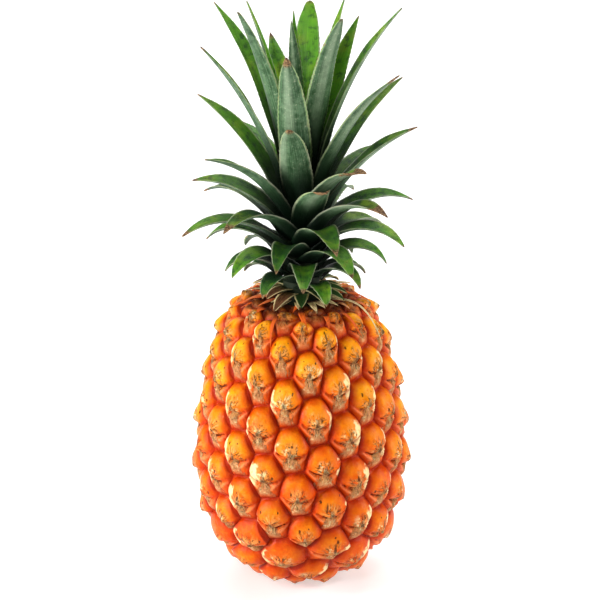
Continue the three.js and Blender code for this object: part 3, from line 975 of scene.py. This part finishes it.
def with_band(m, e, colour):
    """The bract's band under the dome, with its pale salmon collar, which is also a painted highlight along
    its ridge.
    """
    dome = m.step(-0.03, 0.04, e.over_crease)
    band = m.mix(m.step(0.4, 0.62, e.fibre), ORANGE, SALMON)
    colour = m.over(colour, band, m.sub(1.0, dome), 0.75)
    # the collar: the fold's own pale salmon, and a painted highlight along its ridge
    wing = m.mul(m.near(e.over_collar, 0.12, 0.02), m.step(0.15, 0.42, e.side))
    return m.over(colour, PALE_SALMON, wing, m.add(0.4, m.mul(e.fibre, 0.7)))


def with_grooves(m, e, colour):
    # the grooves between the eyes: the skin's own red-orange, deepened to a darker red at the bottom of each
    # groove as painted shade
    wide = m.step(0.55, 0.92, m.add(e.rim, m.mul(e.wobble, 0.2)))
    narrow = m.step(0.84, 1.0, m.add(e.rim, m.mul(e.wobble, 0.1)))
    return m.over(m.over(colour, RED_ORANGE, wide, 0.75), GROOVE, narrow, 0.9)


def paper_patch(m, e):
    """Where the bract's papery middle shows, torn into threads, and its colour."""
    half_width = m.most(m.add(m.mul(e.b, -0.42), 0.08), 0.06)
    thread = m.grain(1, 4, 0.65, (e.a, 9), (e.b, 3), (e.draw_a, 40))
    ragged = m.add(m.math("DIVIDE", e.side, half_width), m.swing(thread, 3.4))
    patch = m.mul(m.step(1.3, 0.7, ragged), m.mul(m.step(0.2, 0.0, e.b), m.step(-0.94, -0.58, e.b)))
    patch = m.mul(patch, m.step(1.0, 0.86, e.height))
    speck = m.noise(560, 3, 0.7)
    paper = m.mix(m.step(0.4, 0.56, thread), PAPER_GREY, PAPER)
    paper = m.over(paper, PAPER_DARK, m.step(0.42, 0.35, speck), 0.55)
    return patch, m.over(paper, CREAM, m.step(0.54, 0.6, speck), 0.9)


def with_dry_skin_and_highlight(m, e, colour):
    """A tan bloom round the beak; cream dry skin on the outer side of each eye, which is also a painted
    highlight from the side lamps; and flecks beside the beak.
    """
    bloom = m.step(0.4, 0.6, m.add(e.ray, m.swing(e.fine, 0.6)))
    colour = m.over(colour, TAN, m.mul(m.step(0.68, 0.2, e.off_beak), bloom), 0.62)
    # pale dry skin and painted highlight on the side of each eye turned away from the fruit's middle, more on
    # the front
    outer = m.mul(e.a, m.held(m.mul(e.x, 32), -1.0, 1.0))
    outer = m.mul(outer, m.held(m.mul(e.y, -42), 0.4, 1.0))
    outer = m.add(m.add(outer, m.swing(e.draw_a, 0.45)), m.mul(e.wobble, 0.9))
    dry_side_and_highlight = m.mul(m.step(0.3, 0.4, outer), m.step(-0.5, -0.3, e.b))
    below_top = m.step(0.62, 0.48, m.add(e.b, e.wobble))
    dry_side_and_highlight = m.mul(dry_side_and_highlight, m.mul(below_top, m.step(0.97, 0.88, e.rim)))
    pale = m.over(PALE_DRY, TAN, m.step(0.45, 0.36, m.noise(330)), 0.6)
    colour = m.over(colour, pale, dry_side_and_highlight, 0.8)
    beside = m.mul(m.step(0.55, 0.2, e.side), m.near(m.sub(e.b, 0.02), 0.45, 0.1))
    fleck = m.add(m.noise(240, 4, 0.7), m.swing(e.draw_a, 0.1))
    return m.over(colour, CREAM, m.mul(m.step(0.54, 0.64, fleck), beside), 0.75)


def dark_marks(m, e):
    """Cracks round the beak, a broken line of painted shade along the crease, a rare slit, pits and the
    beak's tip.
    """
    dark = m.mul(m.near(m.swing(e.ray), 0.028, 0.01), m.step(0.58, 0.34, e.off_beak))
    dark = m.mul(dark, m.step(0.4, 0.52, m.noise(280)))
    one_side = m.mul(e.a, m.math("SIGN", m.swing(e.draw_b)))
    # painted shade: a broken dark line along the crease, on one side of the eye
    line = m.mul(m.near(e.over_crease, 0.045, 0.01), m.step(0.82, 0.5, e.side))
    line = m.mul(line, m.mul(m.step(0.1, 0.2, e.side), m.step(-0.5, -0.1, one_side)))
    dark = m.most(dark, m.mul(line, m.step(0.46, 0.58, m.noise(150, 4, 0.7))))
    off_slit = m.sub(e.a, m.swing(e.draw_a, 0.5))
    slit = m.mul(m.near(off_slit, 0.05, 0.015), m.mul(m.step(0.02, 0.12, e.b), m.step(0.5, 0.3, e.b)))
    dark = m.most(dark, m.mul(slit, m.step(0.78, 0.8, e.draw_b)))
    for across, above, size in PITS:
        pit_a = m.sub(e.a, m.mul(m.sub(e.draw_a, 0.45), across))
        pit_b = m.sub(e.b, m.add(m.swing(e.draw_b, above), 0.28))
        off_pit = m.math("SQRT", m.add(m.mul(pit_a, pit_a), m.mul(m.mul(pit_b, pit_b), 0.5)))
        dark = m.most(dark, m.step(size, size * 0.4, off_pit))
    return m.most(dark, m.mul(m.step(0.13, 0.05, e.off_beak), m.step(0.42, 0.56, e.fibre)))


def skin_material():
    m = Nodes("pineapple_skin")
    e = eye_values(m)
    patch, paper = paper_patch(m, e)
    dark = dark_marks(m, e)
    colour = with_grooves(m, e, with_band(m, e, flesh_colour(m, e)))
    colour = with_dry_skin_and_highlight(m, e, m.over(colour, paper, patch, 0.82))
    # painted shade: red-orange along the crease under each dome, less where the papery patch shows
    colour = m.over(colour, RED_ORANGE, m.near(e.over_crease, 0.12, 0.0), m.mul(m.sub(1.0, patch), 0.6))
    # the dark marks, with the painted shade line along the crease among them
    colour = m.over(colour, DARK_BROWN, dark, 0.78)
    # painted shade: dark red-brown on the skin in the shade of the neck
    out = m.add(m.away(e.x, e.y), m.mul(e.wobble, 0.016))
    colour = m.over(colour, NECK_SHADE_BROWN, m.mul(m.step(0.033, 0.021, out), m.step(0.12, 0.13, e.z)), 0.9)
    relief = m.add(m.mul(e.blotch, 0.5), m.mul(e.fine, 0.45))
    relief = m.add(relief, m.mul(patch, m.mul(e.fibre, 1.8)))
    relief = m.sub(relief, m.mul(dark, 0.9))
    rough = m.add(m.add(0.26, m.mul(patch, 0.4)), m.mul(e.fine, 0.16))
    return m.finish(colour, rough, m.bump(relief, SKIN_BUMP, 1.0), 0.16)


# The leaves' colours

LEAF_DARK = (0.002, 0.012, 0.004)
LEAF_MID = (0.011, 0.066, 0.012)
LEAF_BRIGHT = (0.18, 0.52, 0.018)
LEAF_YELLOW = (0.44, 0.54, 0.05)
LEAF_BLOOM = (0.14, 0.26, 0.13)
LEAF_PALE = (0.4, 0.52, 0.34)
LEAF_CREAM = (0.8, 0.82, 0.58)
DRY = (0.42, 0.25, 0.11)
DRY_DARK = (0.09, 0.035, 0.015)
LEAF_BUMP = 0.0006


def leaf_values(m):
    """What the leaves' colours are worked out from."""
    e = SimpleNamespace()
    e.t, e.v, e.face = m.attribute("blade")
    e.seed, e.place, e.dry = m.attribute("leaf")
    e.streak = m.grain(5, 3, 0.6, (e.v, 4.5), (e.t, 0.7), (e.seed, 50))
    e.lines = m.grain(9, 2, 0.5, (e.v, 9), (e.t, 0.5), (e.seed, 50))
    e.scurf = m.noise(900, 3, 0.7)
    e.mottle = m.noise(260, 4, 0.65)
    e.blotch = m.noise(75, 3, 0.6)
    return e


def inner_face(m, e):
    """The face towards the axis: brighter on the young leaves and towards the tip, and blotched."""
    bright = m.add(m.mul(m.step(0.5, 1.0, e.place), 0.65), m.swing(e.seed, 0.5))
    bright = m.add(bright, m.mul(m.step(0.3, 0.95, e.t), 0.35))
    bright = m.add(bright, m.swing(e.streak, 0.9))
    bright = m.add(bright, m.add(m.swing(e.mottle, 1.3), m.swing(e.blotch, 1.2)))
    colour = m.mix(m.math("ADD", bright, 0.14, clamp=True), LEAF_MID, LEAF_BRIGHT)
    yellow = m.step(0.56, 0.78, m.add(e.blotch, m.mul(e.streak, 0.2)))
    colour = m.over(colour, LEAF_YELLOW, m.mul(yellow, m.step(0.25, 0.8, e.t)), 0.5)
    return m.over(colour, LEAF_MID, m.step(0.47, 0.36, e.mottle), 0.55)


def outer_face(m, e):
    """The outer face: a grey bloom, worn and scurfy, and a pale waxy band along one side, which is also a
    painted reflection.
    """
    bloom = m.add(m.mul(e.streak, 0.7), m.mul(e.mottle, 0.65))
    bloom = m.mul(m.step(0.5, 0.8, bloom), m.step(0.1, 0.6, e.t))
    colour = m.mix(bloom, LEAF_MID, LEAF_BLOOM)
    # the pale band: the leaf's own waxy band and a painted reflection, at a drawn place across the leaf
    off_band = m.absolute(m.sub(e.v, m.sub(m.mul(e.seed, 0.7), 0.85)))
    band = m.step(0.5, 0.1, m.add(off_band, m.swing(e.streak, 0.5)))
    band = m.mul(band, m.step(0.22, 0.62, e.t))
    colour = m.over(colour, LEAF_PALE, band, m.add(0.25, m.mul(e.mottle, 0.7)))
    return m.over(colour, LEAF_CREAM, m.step(0.56, 0.7, e.scurf), m.mul(bloom, 0.5))


def with_shade(m, e, colour):
    """Dark in the crown's heart, where the leaves shade one another."""
    colour = m.over(colour, LEAF_DARK, m.step(0.6, 0.36, e.lines), 0.35)
    colour = m.over(colour, LEAF_DARK, m.step(0.55, 0.08, e.t), 0.85)
    x, y, z = m.parts(m.place)
    heart = m.mul(m.step(0.028, 0.01, m.away(x, y)), m.step(0.25, 0.2, z))
    return m.over(colour, LEAF_DARK, heart, 0.9)


def leaf_material():
    m = Nodes("crown_leaf")
    e = leaf_values(m)
    colour = m.mix(m.step(-0.3, 0.3, e.face), outer_face(m, e), inner_face(m, e))
    colour = with_shade(m, e, colour)
    edge = m.step(0.86, 0.99, m.add(m.absolute(e.v), m.swing(e.mottle, 0.14)))
    colour = m.over(colour, LEAF_CREAM, edge, m.mul(m.step(0.1, 0.5, e.t), 0.6))
    # dry tips and dry spots
    tip_at = m.sub(1.0, m.mul(e.dry, m.add(0.4, m.mul(e.mottle, 1.1))))
    withered = m.step(-0.02, 0.02, m.sub(e.t, tip_at))
    spots = m.step(0.64, 0.7, m.add(e.mottle, m.mul(edge, 0.1)))
    withered = m.most(withered, m.mul(spots, m.mul(m.step(0.3, 0.8, e.t), 0.55)))
    colour = m.mix(withered, colour, m.mix(m.step(0.4, 0.6, e.scurf), DRY_DARK, DRY))
    relief = m.add(m.mul(e.streak, 0.8), m.add(m.mul(e.lines, 0.5), m.mul(e.mottle, 0.35)))
    rough = m.add(m.add(0.25, m.mul(e.mottle, 0.2)), m.mul(m.step(0.3, -0.3, e.face), 0.1))
    return m.finish(colour, m.add(rough, m.mul(withered, 0.3)), m.bump(relief, LEAF_BUMP, 0.9), 0.4)


# The colours of the stem, the bracts and the stalk

STEM_GREEN = (0.05, 0.13, 0.02)
STEM_CORE = (0.012, 0.018, 0.008)
FRINGE_DARK = (0.06, 0.012, 0.005)
FRINGE_PAPER = (0.36, 0.17, 0.07)
BRACT_STREAK = (0.26, 0.05, 0.014)
BRACT_ROOT = (0.06, 0.008, 0.002)
BRACT_SPOT = (0.2, 0.06, 0.02)
STALK_BROWN = (0.32, 0.17, 0.07)
STALK_PALE = (0.75, 0.58, 0.34)
STALK_RING = (0.2, 0.1, 0.05)


def stem_material():
    m = Nodes("stem_fringe")
    t, v, _ = m.attribute("blade")
    seed, is_blade, _ = m.attribute("leaf")
    streak = m.grain(6, 3, 0.6, (v, 3.5), (t, 0.8), (seed, 60))
    fine = m.noise(500)
    edge = m.step(0.66, 0.97, m.absolute(v))
    green = m.over(m.mix(streak, LEAF_DARK, STEM_GREEN), CREAM, edge, 0.6)
    paper = m.over(m.mix(m.step(0.4, 0.65, streak), FRINGE_DARK, FRINGE_PAPER), CREAM, edge, 0.85)
    dryness = m.step(0.55, 0.95, m.add(m.mul(seed, 0.7), m.mul(t, 0.5)))
    colour = m.over(green, paper, is_blade, dryness)
    colour = m.over(colour, STEM_CORE, m.sub(1.0, is_blade), 0.9)
    relief = m.bump(m.add(streak, m.mul(fine, 0.3)), 0.0004, 0.8)
    return m.finish(colour, m.add(0.55, m.mul(fine, 0.2)), relief, 0.2)


def bract_material():
    m = Nodes("dry_bract")
    t, v, _ = m.attribute("blade")
    seed, _, _ = m.attribute("leaf")
    streak = m.grain(6, 3, 0.6, (v, 2.5), (t, 0.8), (seed, 60))
    body = m.mix(m.step(0.35, 0.65, streak), ORANGE, SALMON)
    pale = m.mix(m.step(0.36, 0.56, streak), BRACT_STREAK, CREAM)
    pale = m.mix(m.step(0.5, 0.95, m.absolute(v)), pale, PALE_DRY)
    colour = m.mix(m.step(0.5, 0.62, seed), body, pale)
    colour = m.mix(m.step(0.3, 0.0, t), colour, BRACT_ROOT)
    colour = m.over(colour, BRACT_SPOT, m.step(0.6, 0.75, m.noise(300)), 0.6)
    return m.finish(colour, 0.6, m.bump(streak, 0.0003, 0.8), 0.3)


def stalk_material():
    m = Nodes("cut_stalk")
    fibre = m.noise(700, 4, 0.7)
    colour = m.mix(fibre, STALK_BROWN, STALK_PALE)
    colour = m.over(colour, STALK_RING, m.step(0.45, 0.7, m.noise(120)), 0.6)
    return m.finish(colour, m.add(0.7, m.mul(fibre, 0.2)), m.bump(fibre, 0.0006, 0.9), 0.5)


# The object


def make_object():
    make_fruit(skin_material())
    leaves = leaf_material()
    for n in range(LEAF_COUNT):
        make_leaf(n, leaves)
    make_stem(stem_material())
    make_bracts(bract_material())
    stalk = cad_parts["stalk"]
    stalk.data.materials.clear()
    stalk.data.materials.append(stalk_material())


# Stage, light and camera, in metres and degrees

FLOOR_REACH = 6.0
FLOOR_GREY = (0.6, 0.6, 0.6, 1)
FLOOR_GLOW = 0.5
WHITE = (1, 1, 1, 1)
WORLD_LIGHT = 0.15
DISPLAY_GAMMA = 0.92
FRUIT_MIDDLE = (0, 0, 0.14)
# Name, place, width and height, power and what it is aimed at
LAMPS = [
    ("left", (-0.72, -0.3, 0.3), (0.2, 0.6), 8, FRUIT_MIDDLE),
    ("right", (0.75, -0.12, 0.36), (0.2, 0.6), 4.8, FRUIT_MIDDLE),
    ("front", (-0.25, -1.1, 0.95), (0.3, 0.3), 4.7, FRUIT_MIDDLE),
    ("back", (0, 1.0, 1.2), (1.6, 0.7), 26, (0, 0.85, 0)),
]
CAMERA_ELEVATION = 21
CAMERA_DISTANCE = 1.9
CAMERA_REACH = 30
SENSOR_WIDTH = 36
PHOTO_PIXELS = 600
PIXEL = 0.49
TARGET = (-0.7 * MM, 0, 143.5 * MM)


def make_floor():
    material = bpy.data.materials.new("floor")
    material.use_nodes = True
    shader = material.node_tree.nodes["Principled BSDF"]
    shader.inputs["Base Color"].default_value = FLOOR_GREY
    shader.inputs["Roughness"].default_value = 0.9
    shader.inputs["Emission Color"].default_value = WHITE
    shader.inputs["Emission Strength"].default_value = FLOOR_GLOW
    r = FLOOR_REACH
    corners = np.array([(-r, -r, 0), (r, -r, 0), (r, r, 0), (-r, r, 0)])
    floor = make_mesh("floor", corners, np.array([(0, 1, 2, 3)]), {}, "POINT", material)


def add_lamp(name, place, size, power, aim):
    light = bpy.data.lights.new(name, "AREA")
    light.shape = "RECTANGLE"
    light.size, light.size_y = size
    light.energy = power
    lamp = bpy.data.objects.new(name, light)
    lamp.location = place
    way = Vector(aim) - Vector(place)
    lamp.rotation_euler = way.to_track_quat("-Z", "Y").to_euler()
    SCENE.collection.objects.link(lamp)


def make_stage():
    make_floor()
    world = bpy.data.worlds.new("studio")
    world.use_nodes = True
    background = world.node_tree.nodes["Background"]
    background.inputs["Color"].default_value = WHITE
    background.inputs["Strength"].default_value = WORLD_LIGHT
    SCENE.world = world
    for lamp in LAMPS:
        add_lamp(*lamp)
    SCENE.view_settings.view_transform = "Standard"
    SCENE.view_settings.gamma = DISPLAY_GAMMA


def make_camera():
    camera = bpy.data.cameras.new("camera")
    camera.sensor_width = SENSOR_WIDTH
    camera.lens = SENSOR_WIDTH * CAMERA_DISTANCE / (PHOTO_PIXELS * PIXEL * MM)
    camera.clip_end = CAMERA_REACH
    eye = bpy.data.objects.new("camera", camera)
    angle = math.radians(CAMERA_ELEVATION)
    back = Vector((0, -math.cos(angle), math.sin(angle)))
    eye.location = Vector(TARGET) + back * CAMERA_DISTANCE
    eye.rotation_euler = (-back).to_track_quat("-Z", "Y").to_euler()
    SCENE.collection.objects.link(eye)
    SCENE.camera = eye


make_object()
make_stage()
make_camera()
